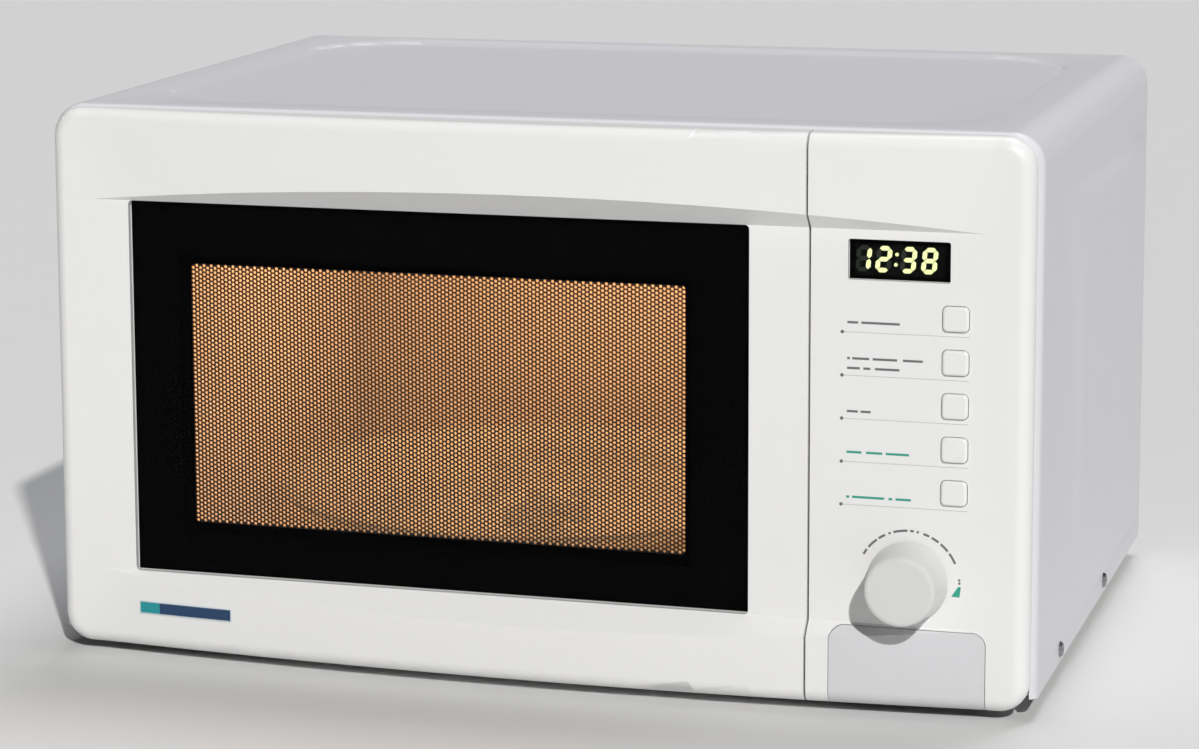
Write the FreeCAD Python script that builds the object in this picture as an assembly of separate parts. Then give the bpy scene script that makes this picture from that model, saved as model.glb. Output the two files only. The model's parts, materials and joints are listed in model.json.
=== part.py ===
"""A countertop microwave oven: cabinet, cavity, electrics, drop-latch door and control panel.

Frame: millimetres, +X to the right, +Y to the back, +Z up. The origin is the middle of the
footprint, on the surface that the feet stand on. The heights below are measured from a datum plane
DATUM under that surface, and main() brings every shape down to it. Each piece is written to
parts/NODE.step.
"""
import FreeCAD, Part
import math
import os
from FreeCAD import Vector

# ---- driving dimensions ----
DATUM = 9.5                 # height of the surface that the feet stand on
HEIGHT = 262.0              # cabinet top
SIDE_X = 225.2              # plain side of the cabinet
EMBOSS_X = 227.8            # raised middle of the cabinet's sides
FRONT = -150.5              # flat middle plane of door and control panel
REAR = 170.5                # back edge of the cabinet
REAR_SHEET = REAR - 2.4     # front face of the rear panel's sheet
CABINET_Z = 19.0            # lower edge of the cabinet's sides
CABINET_R = 14.0            # upper long edges of the cabinet
CABINET_SKIN = 0.6
RIM = ((0, 2.6), (1.4, 1.0), (2.8, 0.3), (4.5, 0))  # cabinet's front edge: depth behind it, turned in by
SHEET = 0.8                 # inner sheet steel

MOULD_X = 222.6             # half width over the front mouldings
MOULD_Z = (13.8, 261.0)
MOULD_R = 13.3              # corners of the front seen from the front
EDGE_ROUND = 6.5            # rounding of the front's outer edge
WALL = 2.5                  # wall of the mouldings
BOW = 10.5                  # how far the upper and lower bands stand forward at the middle
BOW_HALF = 203.0            # where the bow meets the flat plane
FLAT_Z = (49.7, 220.2)      # the flat zone between the two bands
SEAM = (127.0, 128.0)       # door's free edge, control panel's edge
BACK = FRONT + 8.3          # back edge of the mouldings
LIP = FRONT + 8.8           # front edge of the cabinet

PLATE = FRONT + 22.0        # front face of the front plate
CAVITY_X = (-190.0, 106.0)
CAVITY_Z = (40.0, 232.0)
CAVITY_BACK = 158.0
SPINDLE = (-42.0, 15.0)     # turntable axis

HINGE = (-216.0, FRONT + 5.3)
HINGE_PIN = 1.5
RUNNING = 0.05              # radial clearance of pins and shafts
SWING_ROUND = 6.2           # the door's hinge edge stays inside this radius
SWING_TOP = 3.0             # the same where it passes under the cabinet's top edge

GLASS_X = (-185.2, 101.0)
GLASS_Z = (49.8, 220.1)
SCREEN_X = (-159.3, 70.7)   # perforated field
SCREEN_Z = (71.8, 191.2)
CHOKE_X = (-209.0, 125.3)
CHOKE_Z = (24.5, 249.0)
SEAL_X = (-197.0, 119.0)    # flat sealing face of the door, outside
SEAL_Z = (33.0, 239.0)
SEAL_IN_X = (-170.0, 82.0)  # and its inner edge round the window
SEAL_IN_Z = (61.0, 203.0)
DOOR_REAR = FRONT + 20.5

DISPLAY_X = (144.1, 187.7)
DISPLAY_Z = (198.7, 216.0)
BUTTON_X = 190.3
BUTTON_TOP = 183.6
BUTTON_PITCH = 18.7
BUTTON_SIZE = (11.2, 10.8)
BUTTONS = ("power_button", "defrost_button", "clock_button", "stop_button", "start_button")
BUTTON_PROUD = 1.6          # stands out of the panel, more than its 1.2 mm travel
KNOB = (171.0, 69.3)
RELEASE_X = (137.9, 204.4)
RELEASE_TOP = 48.5
RELEASE_R = 5.8
GAP = 0.3                   # round buttons in the panel

LEVER = (-112.0, 50.0)      # release lever's pivot, y and z
STEM = (170.0, 32.0)        # release button's stem, x and z
HOOK_X = (113.0, 117.0)
HOOKS_Z = (62.0, 180.0)     # undersides of the two latch hooks
HOOK_TALL = 12.0
HOOK_TIP = -96.0

ROLLER_R = 7.0
ROLLER_CENTRE = 96.0
ROLLER_Z = 47.3
TRAY_Z = 54.6
TRAY_R = 127.5
FAN = (165.0, 188.0)

PARTS = {}


# ---- shapes ----
def box(x, y, z):
    """A block between the (low, high) pairs x, y and z."""
    return Part.makeBox(x[1] - x[0], y[1] - y[0], z[1] - z[0], Vector(x[0], y[0], z[0]))


def rod(radius, start, end):
    """A round bar from one point to another."""
    along = Vector(*end) - Vector(*start)
    return Part.makeCylinder(radius, along.Length, Vector(*start), along)


def tube(outer, inner, start, end):
    """A round tube from one point to another."""
    return rod(outer, start, end).cut(rod(inner, start, end))


def grow(pair, by):
    """A (low, high) pair made longer by this much at each end."""
    return (pair[0] - by, pair[1] + by)


def outline(x, z, radius, y):
    """A rounded rectangle in the XZ plane at y."""
    turn = radius * (1 - math.sqrt(0.5))
    points = []
    for sx, sz in ((1, 1), (-1, 1), (-1, -1), (1, -1)):
        cx, cz = x[sx > 0], z[sz > 0]
        along_z = Vector(cx, y, cz - sz * radius)
        middle = Vector(cx - sx * turn, y, cz - sz * turn)
        along_x = Vector(cx - sx * radius, y, cz)
        points.append((along_z, middle, along_x) if sx * sz > 0 else (along_x, middle, along_z))
    edges = []
    for number, (start, middle, end) in enumerate(points):
        edges.append(Part.Arc(start, middle, end).toShape())
        edges.append(Part.makeLine(end, points[(number + 1) % 4][0]))
    return Part.Wire(edges)


def slab(x, z, radius, y):
    """A plate with rounded corners, standing in XZ, between the y pair."""
    face = Part.Face(outline(x, z, radius, y[0]))
    return face.extrude(Vector(0, y[1] - y[0], 0))


def prism(points, direction):
    """A closed polygon of points pushed along a direction."""
    corners = [Vector(*point) for point in points]
    return Part.Face(Part.makePolygon(corners + corners[:1])).extrude(Vector(*direction))


def turned(points, centre, axis):
    """A closed polygon of points turned a full circle about an axis."""
    corners = [Vector(*point) for point in points]
    return Part.Face(Part.makePolygon(corners + corners[:1])).revolve(Vector(*centre), Vector(*axis), 360)


def fuse(shapes):
    """One solid of several that touch or overlap."""
    return shapes[0].fuse(shapes[1:]).removeSplitter()


def part(name):
    """Files a function's shape under its node's name."""
    def keep(function):
        PARTS[name] = function
        return function
    return keep


# ---- the shared front surface of door and control panel ----
def bow_band(inset, edge_z, wall_z, up):
    """The band above (up 1) or below (up -1) the flat zone, bowed forward in plan.

    Its outer edge at edge_z is rounded, and it meets the flat zone in a 45 degree wall at wall_z.
    """
    radius = (BOW_HALF ** 2 + BOW ** 2) / (2 * BOW)
    centre = FRONT - BOW + radius
    face = FRONT - BOW + inset
    back = FRONT + 25
    curve = EDGE_ROUND - inset
    turn = curve * (1 - math.sqrt(0.5))
    low = wall_z - up * 25
    wire = Part.Wire([
        Part.makeLine(Vector(0, back, low), Vector(0, face, low)),
        Part.makeLine(Vector(0, face, low), Vector(0, face, edge_z - up * curve)),
        Part.Arc(Vector(0, face, edge_z - up * curve), Vector(0, face + turn, edge_z - up * turn),
                 Vector(0, face + curve, edge_z)).toShape(),
        Part.makeLine(Vector(0, face + curve, edge_z), Vector(0, back, edge_z)),
        Part.makeLine(Vector(0, back, edge_z), Vector(0, back, low)),
    ])
    half = math.degrees(math.asin((BOW_HALF + 6) / radius))
    profile = Part.Face(wire)
    profile.rotate(Vector(0, centre, 0), Vector(0, 0, 1), -half)
    band = profile.revolve(Vector(0, centre, 0), Vector(0, 0, 1), 2 * half)
    shift = up * inset * math.sqrt(2)
    wedge = prism(((-230, FRONT - 30, wall_z + up * 30 + shift), (-230, FRONT + 5, wall_z - up * 5 + shift),
                   (-230, FRONT + 5, wall_z + up * 90), (-230, FRONT - 30, wall_z + up * 90)), (460, 0, 0))
    return band.common(wedge)


def front_block(inset):
    """The whole front as one block, with its surface moved inwards by inset."""
    curve = EDGE_ROUND - inset
    face = FRONT + inset
    block = slab(grow((-MOULD_X, MOULD_X), -inset), grow(MOULD_Z, -inset), MOULD_R - inset, (face, BACK))
    rim = [edge for edge in block.Edges if all(abs(end.Point.y - face) < 1e-6 for end in edge.Vertexes)]
    block = block.makeFillet(curve, rim)
    upper = bow_band(inset, MOULD_Z[1] - inset, FLAT_Z[1], 1)
    lower = bow_band(inset, MOULD_Z[0] + inset, FLAT_Z[0], -1)
    return fuse([block, upper, lower])


OUTSIDE = front_block(0)
INSIDE = front_block(WALL)


def moulding(x):
    """The shell of the front between two x values, open at the back."""
    reach = (FRONT - 30, BACK + 1)
    outer = OUTSIDE.common(box(x, reach, (0, HEIGHT)))
    inner = INSIDE.common(box(grow(x, -WALL), reach, (0, HEIGHT)))
    return outer.cut(inner)


def post(radius, x, z, end):
    """A round post that stands behind the front's wall and ends at the y value end."""
    return OUTSIDE.common(rod(radius, (x, FRONT - 20, z), (x, FRONT + 6, z))).fuse(
        rod(radius, (x, FRONT + 2, z), (x, end, z)))


def rib(x, z):
    """A flat rib from the front's wall back to the front plate."""
    root = OUTSIDE.common(box(x, (FRONT - 20, FRONT + 6), z))
    return root.fuse(box(x, (FRONT + 3, PLATE - 0.2), z))


# ---- door ----
def swing_space():
    """The space left of the hinge axis that the door's edge may use as it turns."""
    ax, ay = HINGE
    corner = 248.0
    wire = Part.Wire([
        Part.makeLine(Vector(ax, ay, 0), Vector(ax + SWING_ROUND, ay, 0)),
        Part.makeLine(Vector(ax + SWING_ROUND, ay, 0), Vector(ax + SWING_ROUND, ay, corner)),
        Part.Arc(Vector(ax + SWING_ROUND, ay, corner), Vector(ax + 5.3, ay, corner + 5),
                 Vector(ax + SWING_TOP, ay, corner + 9)).toShape(),
        Part.makeLine(Vector(ax + SWING_TOP, ay, corner + 9), Vector(ax + SWING_TOP, ay, HEIGHT + 5)),
        Part.makeLine(Vector(ax + SWING_TOP, ay, HEIGHT + 5), Vector(ax, ay, HEIGHT + 5)),
        Part.makeLine(Vector(ax, ay, HEIGHT + 5), Vector(ax, ay, 0)),
    ])
    return Part.Face(wire).revolve(Vector(ax, ay, 0), Vector(0, 0, 1), 360)


@part("door_moulding")
def door_moulding():
    shell = moulding((-MOULD_X, SEAM[0]))
    seat = slab(grow(GLASS_X, 4), (FLAT_Z[0] - 3.5, FLAT_Z[1] + 3.5), 3, (FRONT + 2.4, FRONT + 5.2))
    shell = fuse([shell, seat] + [post(3.5, x, z, FRONT + 8.9) for x, z in door_screw_places()])
    shell = shell.cut([rod(1.4, (x, FRONT + 2, z), (x, FRONT + 9, z)) for x, z in door_screw_places()])
    shell = shell.cut(slab(grow(GLASS_X, 0.1), grow(GLASS_Z, 0.1), 2.1, (FRONT - 1, FRONT + 3.1)))
    shell = shell.cut(slab(grow(GLASS_X, -5), grow(GLASS_Z, -5), 3, (FRONT, FRONT + 8)))
    hinge_side = box((-240, HINGE[0]), (FRONT - 40, BACK + 5), (0, HEIGHT + 1))
    return shell.cut(hinge_side.cut(swing_space()))


@part("door_glass")
def door_glass():
    return slab(GLASS_X, GLASS_Z, 2, (FRONT, FRONT + 3))


def door_screw_places():
    """Where the four door screws stand, as x and z."""
    return [(x, z) for x in (-192.0, 110.0) for z in (29.1, 243.6)]


@part("door_choke_frame")
def door_choke_frame():
    front, rear = FRONT + 9, DOOR_REAR
    pan = box(CHOKE_X, (front, rear), CHOKE_Z)
    pan = pan.cut(box(grow(CHOKE_X, -SHEET), (front + SHEET, rear + 1), grow(CHOKE_Z, -SHEET)))
    hat = box(SEAL_X, (front, rear), SEAL_Z).cut(box(SEAL_IN_X, (front - 1, rear + 1), SEAL_IN_Z))
    hollow = box(grow(SEAL_X, -SHEET), (front + SHEET, rear - SHEET), grow(SEAL_Z, -SHEET))
    hollow = hollow.cut(box(grow(SEAL_IN_X, SHEET), (front, rear), grow(SEAL_IN_Z, SHEET)))
    frame = fuse([pan, hat.cut(hollow)])
    frame = frame.cut(slab(SCREEN_X, SCREEN_Z, 2, (front - 1, front + 2)))
    for bottom in HOOKS_Z:
        frame = frame.cut(box(grow(HOOK_X, 0.8), (front + 4, rear + 1), (bottom - 5, bottom + HOOK_TALL + 5)))
    for x, z in door_screw_places():
        frame = frame.cut(rod(2.0, (x, front - 1, z), (x, front + 5, z)))
    for low in (CHOKE_Z[0], CHOKE_Z[1] - SHEET):
        ear = box((HINGE[0] - 2.9, CHOKE_X[0] + 9), (HINGE[1] - 2.2, front + 6), (low, low + SHEET))
        hole = rod(HINGE_PIN + RUNNING, (*HINGE, low - 1), (*HINGE, low + 2))
        frame = fuse([frame, ear]).cut(hole)
    return frame


@part("perforated_screen")
def perforated_screen():
    y = FRONT + 9 + SHEET
    return slab(grow(SCREEN_X, 6), grow(SCREEN_Z, 6), 3, (y, y + 0.6))


@part("inner_film")
def inner_film():
    return slab(grow(SEAL_IN_X, -0.3), grow(SEAL_IN_Z, -0.3), 2, (DOOR_REAR - 1.4, DOOR_REAR - 0.6))


@part("choke_cover")
def choke_cover():
    y = (DOOR_REAR - 1.6, DOOR_REAR)
    ring = slab(grow(CHOKE_X, -SHEET - 0.2), grow(CHOKE_Z, -SHEET - 0.2), 3, y)
    return ring.cut(slab(grow(SEAL_X, 0.2), grow(SEAL_Z, 0.2), 1, grow(y, 1)))


@part("door_screws")
def door_screws():
    screws = []
    for x, z in door_screw_places():
        head = rod(3.2, (x, FRONT + 9.8, z), (x, FRONT + 11.8, z))
        shank = rod(1.35, (x, FRONT + 4, z), (x, FRONT + 9.8, z))
        screws.append(head.fuse(shank).removeSplitter())
    return Part.makeCompound(screws)


@part("badge_plate")
def badge_plate():
    y = FRONT - 4
    plaque = OUTSIDE.common(box((-183.1, -136.9), (y - 10, y + 12), (30.3, 36.2)))
    skin = plaque.copy()
    skin.translate(Vector(0, -0.5, 0))
    return skin.cut(OUTSIDE)


@part("latch_hooks")
def latch_hooks():
    strip = box(HOOK_X, (FRONT + 11, FRONT + 18), (HOOKS_Z[0] - 8, HOOKS_Z[1] + HOOK_TALL + 6))
    pieces = [strip]
    for bottom in HOOKS_Z:
        top = bottom + HOOK_TALL
        x = HOOK_X[0]
        side = ((FRONT + 16, bottom), (HOOK_TIP - 7, bottom), (HOOK_TIP - 7, bottom - 3),
                (HOOK_TIP - 3, bottom - 3), (HOOK_TIP, bottom + 2), (HOOK_TIP, top - 3), (HOOK_TIP - 3, top),
                (FRONT + 16, top))
        pieces.append(prism([(x, y, z) for y, z in side], (HOOK_X[1] - x, 0, 0)))
    return fuse(pieces)


@part("latch_spring")
def latch_spring():
    bottom = HOOKS_Z[1] + HOOK_TALL + 6.2
    x = (HOOK_X[0] + HOOK_X[1]) / 2
    coil = Part.makeHelix(2.6, 15.6, 2.4)
    coil.translate(Vector(x, FRONT + 14.5, bottom + 0.4))
    start = coil.Vertexes[0].Point
    ring = Part.Wire(Part.makeCircle(0.35, start, Vector(0, 1, 0)))
    return Part.Wire(coil).makePipeShell([ring], True, True)


# ---- hinges ----
@part("hinge_arms")
def hinge_arms():
    ax, ay = HINGE
    arms = []
    for arm_z, ear, flange in (((250.6, 252.6), CHOKE_Z[1] - 2.3, (250.6, 259.0)),
                               ((22.1, 23.9), CHOKE_Z[0] + 2.3, (22.1, 32.0))):
        tip = rod(2.1, (ax, ay, arm_z[0]), (ax, ay, arm_z[1]))
        reach = box((ax, ax + 17), (ay - 2.1, ay + 1.6), arm_z)
        back = box((ax + 11, ax + 17), (ay, PLATE), arm_z)
        pad = box((ax + 8, ax + 28), (PLATE - 1, PLATE), flange)
        pin = rod(HINGE_PIN, (ax, ay, min(ear, arm_z[0])), (ax, ay, max(ear, arm_z[1])))
        arms.append(fuse([tip, reach, back, pad, pin]))
    return Part.makeCompound(arms)


# ---- cabinet ----
def cabinet_outline(inset, y):
    """The cabinet's section, with square lower ends well below its lower edge."""
    x = SIDE_X - inset
    return outline((-x, x), (-40, HEIGHT - inset), CABINET_R - inset, y)


def cabinet_block(inset):
    """A solid of the cabinet's section, turned in towards its front edge."""
    sections = [cabinet_outline(inset + turned_in, LIP + depth) for depth, turned_in in RIM]
    tip = Part.makeLoft(sections, True, True)
    body = Part.Face(sections[-1]).extrude(Vector(0, REAR - LIP - RIM[-1][0], 0))
    return tip.fuse(body)


def side_emboss(side, inset):
    """The raised panel on one side: a long slope in front, short slopes behind, above and below."""
    wires = []
    for x, y, z in ((SIDE_X - 0.01, (-93.5, 158.0), (28.5, 229)), (SIDE_X + 0.3, (-57.5, 156.5), (29.5, 227)),
                    (EMBOSS_X, (-33.5, 150.0), (34, 217))):
        x = side * (x - inset)
        corners = ((y[0], z[0]), (y[1], z[0]), (y[1], z[1]), (y[0], z[1]), (y[0], z[0]))
        wires.append(Part.makePolygon([Vector(x, *corner) for corner in corners]))
    return Part.makeLoft(wires, True, True)


def top_recess(lower):
    """The shallow dish in the cabinet's top, moved down by lower."""
    def ring(by, z):
        wire = outline(grow((-196, 196), by), grow((-120.5, 156.5), by), 50 + by, 0)
        wire.rotate(Vector(0, 0, 0), Vector(1, 0, 0), -90)
        wire.translate(Vector(0, 0, z))
        return wire
    top = HEIGHT - lower
    return Part.makeLoft([ring(-3, top - 1.5), ring(0, top), ring(0.5, top + 5)], True, True)


def cabinet_form(inset):
    """Section, side panels and top dish together, moved inwards by inset."""
    form = cabinet_block(inset)
    form = form.fuse([side_emboss(1, inset), side_emboss(-1, inset)])
    form = form.cut(top_recess(inset))
    low = CABINET_Z if inset == 0 else -30
    return form.common(box((-240, 240), (LIP - 10, REAR), (low, HEIGHT + 1)))


def side_screw_places():
    """The low screws in the cabinet's sides, as side and y."""
    return [(side, y) for side in (-1, 1) for y in (-79.5, 49.5)]


@part("outer_cabinet")
def outer_cabinet():
    skin = cabinet_form(0).cut(cabinet_form(CABINET_SKIN))
    for side, y in side_screw_places():
        skin = skin.cut(rod(2.2, (side * 220, y, 25), (side * 228, y, 25)))
    return skin


@part("base_plate")
def base_plate():
    x = (0.9 - SIDE_X, SIDE_X - 0.9)
    y = (FRONT + 15, REAR - 10)
    plate = box(x, y, (CABINET_Z, CABINET_Z + SHEET))
    for side in (-1, 1):
        edge = sorted((side * (x[1] - SHEET), side * x[1]))
        flange = box(edge, y, (CABINET_Z, CABINET_Z + 12))
        plate = plate.fuse(flange)
    for side, screw_y in side_screw_places():
        plate = plate.cut(rod(1.7, (side * 220, screw_y, 25), (side * 228, screw_y, 25)))
    through = (CABINET_Z - 1, CABINET_Z + 2)
    vents = [box((left, left + 4), (30, 70), through) for left in range(130, 200, 14)]
    for x_foot, y_foot in foot_places():
        vents.append(rod(2.6, (x_foot, y_foot, through[0]), (x_foot, y_foot, through[1])))
    return plate.cut(vents).removeSplitter()


def foot_places():
    """The four feet, as x and y."""
    return [(x, y) for x in (-190.0, 190.0) for y in (-108.0, 140.0)]


@part("feet")
def feet():
    shapes = []
    for x, y in foot_places():
        pad = Part.makeCone(10.5, 12, CABINET_Z - DATUM, Vector(x, y, DATUM), Vector(0, 0, 1))
        plug = rod(2.5, (x, y, CABINET_Z), (x, y, CABINET_Z + 4))
        cap = rod(4.0, (x, y, CABINET_Z + SHEET), (x, y, CABINET_Z + 3))
        shapes.append(fuse([pad, plug, cap]))
    return Part.makeCompound(shapes)


@part("rear_panel")
def rear_panel():
    x = (1.1 - SIDE_X, SIDE_X - 1.1)
    low, high = CABINET_Z + 1, HEIGHT - CABINET_SKIN - 0.2
    y = REAR_SHEET
    radius = CABINET_R - CABINET_SKIN
    pan = slab(x, (low - 30, high), radius, (y - 6.6, y + SHEET)).common(box(x, (y - 7, REAR), (low, high)))
    dish = slab(grow(x, -SHEET), (low - 30, high - SHEET), radius - SHEET, (y - 8, y))
    pan = pan.cut(dish.common(box(x, (y - 8, y), (low + SHEET, high))))
    slots = []
    for row in range(9):
        for column in range(3):
            left = 114 + 34 * column
            slots.append(slab((left, left + 28), (148 + 9 * row, 152 + 9 * row), 1.9, (y - 1, y + 2)))
    for row in range(5):
        for column in range(4):
            left = -190 + 34 * column
            slots.append(slab((left, left + 28), (196 + 9 * row, 200 + 9 * row), 1.9, (y - 1, y + 2)))
    slots.append(slab((184, 200), (42, 58), 3, (y - 1, y + 2)))
    for screw_x, screw_z in rear_screw_places():
        slots.append(rod(1.7, (screw_x, y - 1, screw_z), (screw_x, y + 2, screw_z)))
    return pan.cut(slots)


def rear_screw_places():
    """The screws in the rear panel, as x and z."""
    return [(-212, 40), (-212, 150), (-212, 240), (212, 40), (212, 130), (0, 252)]


def screw(place, direction):
    """A pan head screw whose head sits at place and whose shank points along direction."""
    start = Vector(*place)
    along = Vector(*direction)
    head = Part.makeCone(3.6, 2.8, 1.4, start, along * -1)
    shank = Part.makeCylinder(1.6, 6, start, along)
    return head.fuse(shank).removeSplitter()


@part("cabinet_screws")
def cabinet_screws():
    screws = [screw((side * SIDE_X, y, 25), (-side, 0, 0)) for side, y in side_screw_places()]
    for x, z in rear_screw_places():
        screws.append(screw((x, REAR_SHEET + SHEET, z), (0, -1, 0)))
    return Part.makeCompound(screws)


@part("cord_gland")
def cord_gland():
    y = REAR_SHEET
    outer = slab((181, 203), (39, 61), 4, (y + SHEET, y + SHEET + 1.4)).fuse(
        slab((184.3, 199.7), (42.3, 57.7), 3, (y - 4, y + SHEET)))
    outer = outer.fuse(slab((182, 202), (40, 60), 3, (y - 4, y)))
    return outer.cut(rod(4.0, (192, y - 10, 50), (192, y + 10, 50))).removeSplitter()


@part("front_plate")
def front_plate():
    y = (PLATE, PLATE + SHEET)
    plate = slab((1.7 - SIDE_X, SIDE_X - 1.7), (CABINET_Z + 1.5, HEIGHT - 1.6), 12, y)
    through = (PLATE - 1, PLATE + 2)
    plate = plate.cut(slab(CAVITY_X, CAVITY_Z, 4, through))
    for bottom in HOOKS_Z:
        slot = box((HOOK_X[0] - 2, HOOK_X[1] + 4.6), through, (bottom - 5, bottom + HOOK_TALL + 5))
        plate = plate.cut(slot)
    plate = plate.cut(rod(6, (STEM[0], through[0], STEM[1]), (STEM[0], through[1], STEM[1])))
    plate = plate.cut(rod(14, (176, through[0], 150), (176, through[1], 150)))
    return plate


# ---- cavity ----
def holes_in_wall(x, y0, z0, columns, rows, pitch, radius):
    """A grid of round holes through a wall that stands in YZ."""
    holes = []
    for column in range(columns):
        for row in range(rows):
            y, z = y0 + pitch * column, z0 + pitch * row
            holes.append(rod(radius, (x - 2, y, z), (x + 2, y, z)))
    return holes


@part("cavity_wrap")
def cavity_wrap():
    y = (PLATE + SHEET, CAVITY_BACK + SHEET)
    outer = box(grow(CAVITY_X, SHEET), y, CAVITY_Z)
    wrap = outer.cut(box(CAVITY_X, (y[0] - 1, CAVITY_BACK), grow(CAVITY_Z, 1)))
    port = slab((-12, 68), (160, 204), 2, (-3, 3))
    port.rotate(Vector(0, 0, 0), Vector(0, 0, 1), 90)
    port.translate(Vector(CAVITY_X[1] + 0.4, 0, 0))
    cuts = [port]
    cuts += holes_in_wall(CAVITY_X[1] + 0.4, -72, 200, 7, 5, 5, 1.6)
    cuts += holes_in_wall(CAVITY_X[0] - 0.4, 60, 196, 14, 5, 5, 1.6)
    return wrap.cut(cuts)


@part("cavity_floor")
def cavity_floor():
    y = (PLATE + SHEET, CAVITY_BACK + SHEET)
    plate = box(grow(CAVITY_X, 8), y, (CAVITY_Z[0] - SHEET, CAVITY_Z[0]))
    return plate.cut(rod(7, (*SPINDLE, 30), (*SPINDLE, 50)))


@part("cavity_ceiling")
def cavity_ceiling():
    y = (PLATE + SHEET, CAVITY_BACK + SHEET)
    return box(grow(CAVITY_X, 8), y, (CAVITY_Z[1], CAVITY_Z[1] + SHEET))


@part("waveguide_cover")
def waveguide_cover():
    sheet = slab((-20, 76), (152, 212), 6, (-0.4, 0.4))
    sheet.rotate(Vector(0, 0, 0), Vector(0, 0, 1), 90)
    sheet.translate(Vector(CAVITY_X[1] - 0.4, 0, 0))
    return sheet


# ---- microwave source ----
WAVE_X = (CAVITY_X[1] + SHEET, CAVITY_X[1] + SHEET + 30)


@part("waveguide")
def waveguide():
    y, z = (-14, 70), (158, 230)
    duct = box(WAVE_X, y, z)
    duct = duct.cut(box((WAVE_X[0] - 1, WAVE_X[1] - SHEET), grow(y, -SHEET), grow(z, -SHEET)))
    flange = box((WAVE_X[0], WAVE_X[0] + SHEET), grow(y, 5), grow(z, 1.5)).cut(box(WAVE_X, y, z))
    port = rod(11, (WAVE_X[1] - 5, 28, 196), (WAVE_X[1] + 5, 28, 196))
    return fuse([duct, flange]).cut(port)


@part("magnetron")
def magnetron():
    left = WAVE_X[1]
    y, z = (-14, 70), (162, 230)
    cheeks = [box((start, start + 2), y, z) for start in (left, left + 50)]
    cheeks += [box((left + 2, left + 50), y, (low, low + 2)) for low in (z[0], z[1] - 2)]
    can = rod(17, (left + 2, 28, 196), (left + 50, 28, 196))
    body = fuse(cheeks + [can])
    stalk = rod(8, (left - 22, 28, 196), (left, 28, 196))
    antenna = stalk.fuse(rod(9.5, (left - 10, 28, 196), (left, 28, 196)))
    fins = []
    for number in range(8):
        x = left + 9 + number * 4.6
        fin = box((x, x + 0.8), grow(y, -4), grow(z, -2)).cut(rod(17, (x - 1, 28, 196), (x + 2, 28, 196)))
        fins.append(fin)
    filter_box = box((left + 52, left + 78), (4, 52), (172, 220))
    return Part.makeCompound([fuse([body, antenna.removeSplitter()])] + fins + [filter_box])


@part("thermal_cutouts")
def thermal_cutouts():
    shapes = []
    for x, y, z in ((WAVE_X[1] + 26, 28, 230), (40, 60, CAVITY_Z[1] + SHEET)):
        flange = rod(10, (x, y, z), (x, y, z + 1.2))
        can = rod(7.5, (x, y, z + 1.2), (x, y, z + 9))
        tabs = box((x - 6, x - 5.2), (y - 3, y + 3), (z + 9, z + 16)).fuse(
            box((x + 5.2, x + 6), (y - 3, y + 3), (z + 9, z + 16)))
        shapes.append(fuse([flange, can, tabs]))
    return Part.makeCompound(shapes)


# ---- high-voltage supply ----
CORE_X = (124, 204)
CORE_Y = (-74, -24)
FLOOR = CABINET_Z + SHEET


@part("transformer_core")
def transformer_core():
    z = (FLOOR, FLOOR + 68)
    core = box(CORE_X, CORE_Y, z)
    for x in ((138, 154), (174, 190)):
        core = core.cut(box(x, grow(CORE_Y, 1), (FLOOR + 14, FLOOR + 54)))
    foot = box((CORE_X[0] - 8, CORE_X[1] + 8), CORE_Y, (FLOOR, FLOOR + 2))
    return fuse([core, foot])


@part("transformer_windings")
def transformer_windings():
    coils = []
    for low, high in ((14.4, 32.0), (33.0, 53.6)):
        z = (FLOOR + low, FLOOR + high)
        outer = box((138.4, 189.6), grow(CORE_Y, 16), z)
        upright = [edge for edge in outer.Edges if abs(edge.tangentAt(edge.FirstParameter).z) > 0.9]
        coil = outer.makeFillet(8, upright)
        coils.append(coil.cut(box((153.6, 174.4), grow(CORE_Y, 0.4), grow(z, 1))))
    return Part.makeCompound(coils)


@part("hv_capacitor")
def hv_capacitor():
    y, z = (84, 118), (FLOOR, FLOOR + 52)
    can = slab((118, 208), z, 16, y)
    terminals = [rod(3, (x, y[0] - 8, FLOOR + 26), (x, y[0], FLOOR + 26)) for x in (146, 180)]
    return fuse([can] + terminals)


@part("capacitor_clamp")
def capacitor_clamp():
    y = (94, 106)
    strap = slab((117, 209), (FLOOR - 1, FLOOR + 53), 17, y).cut(slab((118, 208), (FLOOR, FLOOR + 52), 16, y))
    strap = strap.cut(box((110, 220), y, (0, FLOOR + 2)))
    ears = [box((110, 118.2), y, (FLOOR, FLOOR + 18)), box((207.8, 216), y, (FLOOR, FLOOR + 18))]
    ears[0] = ears[0].cut(box((111, 117), y, (FLOOR + 1, FLOOR + 20)))
    ears[1] = ears[1].cut(box((209, 215), y, (FLOOR + 1, FLOOR + 20)))
    strap = fuse([strap] + ears)
    return strap.cut(slab((118, 208), (FLOOR, FLOOR + 52), 16, y))


@part("hv_diode")
def hv_diode():
    body = rod(3.2, (128, 64, FLOOR + 8), (148, 64, FLOOR + 8))
    leads = rod(0.7, (122, 64, FLOOR + 8), (154, 64, FLOOR + 8))
    lug = rod(4, (122, 64, FLOOR), (122, 64, FLOOR + 9))
    return fuse([body, leads, lug])


@part("filter_board")
def filter_board():
    board = box((120, 214), (124, 160), (FLOOR + 8, FLOOR + 9.6))
    posts = [rod(2.5, (x, y, FLOOR), (x, y, FLOOR + 8)) for x in (125, 209) for y in (129, 155)]
    coils = [rod(8, (x, 132, FLOOR + 17), (x, 152, FLOOR + 17)) for x in (150, 172)]
    capacitor = box((184, 202), (134, 144), (FLOOR + 9.6, FLOOR + 24))
    fuse_holder = box((126, 136), (128, 156), (FLOOR + 9.6, FLOOR + 17))
    return fuse([board, capacitor, fuse_holder] + posts + coils)


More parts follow.
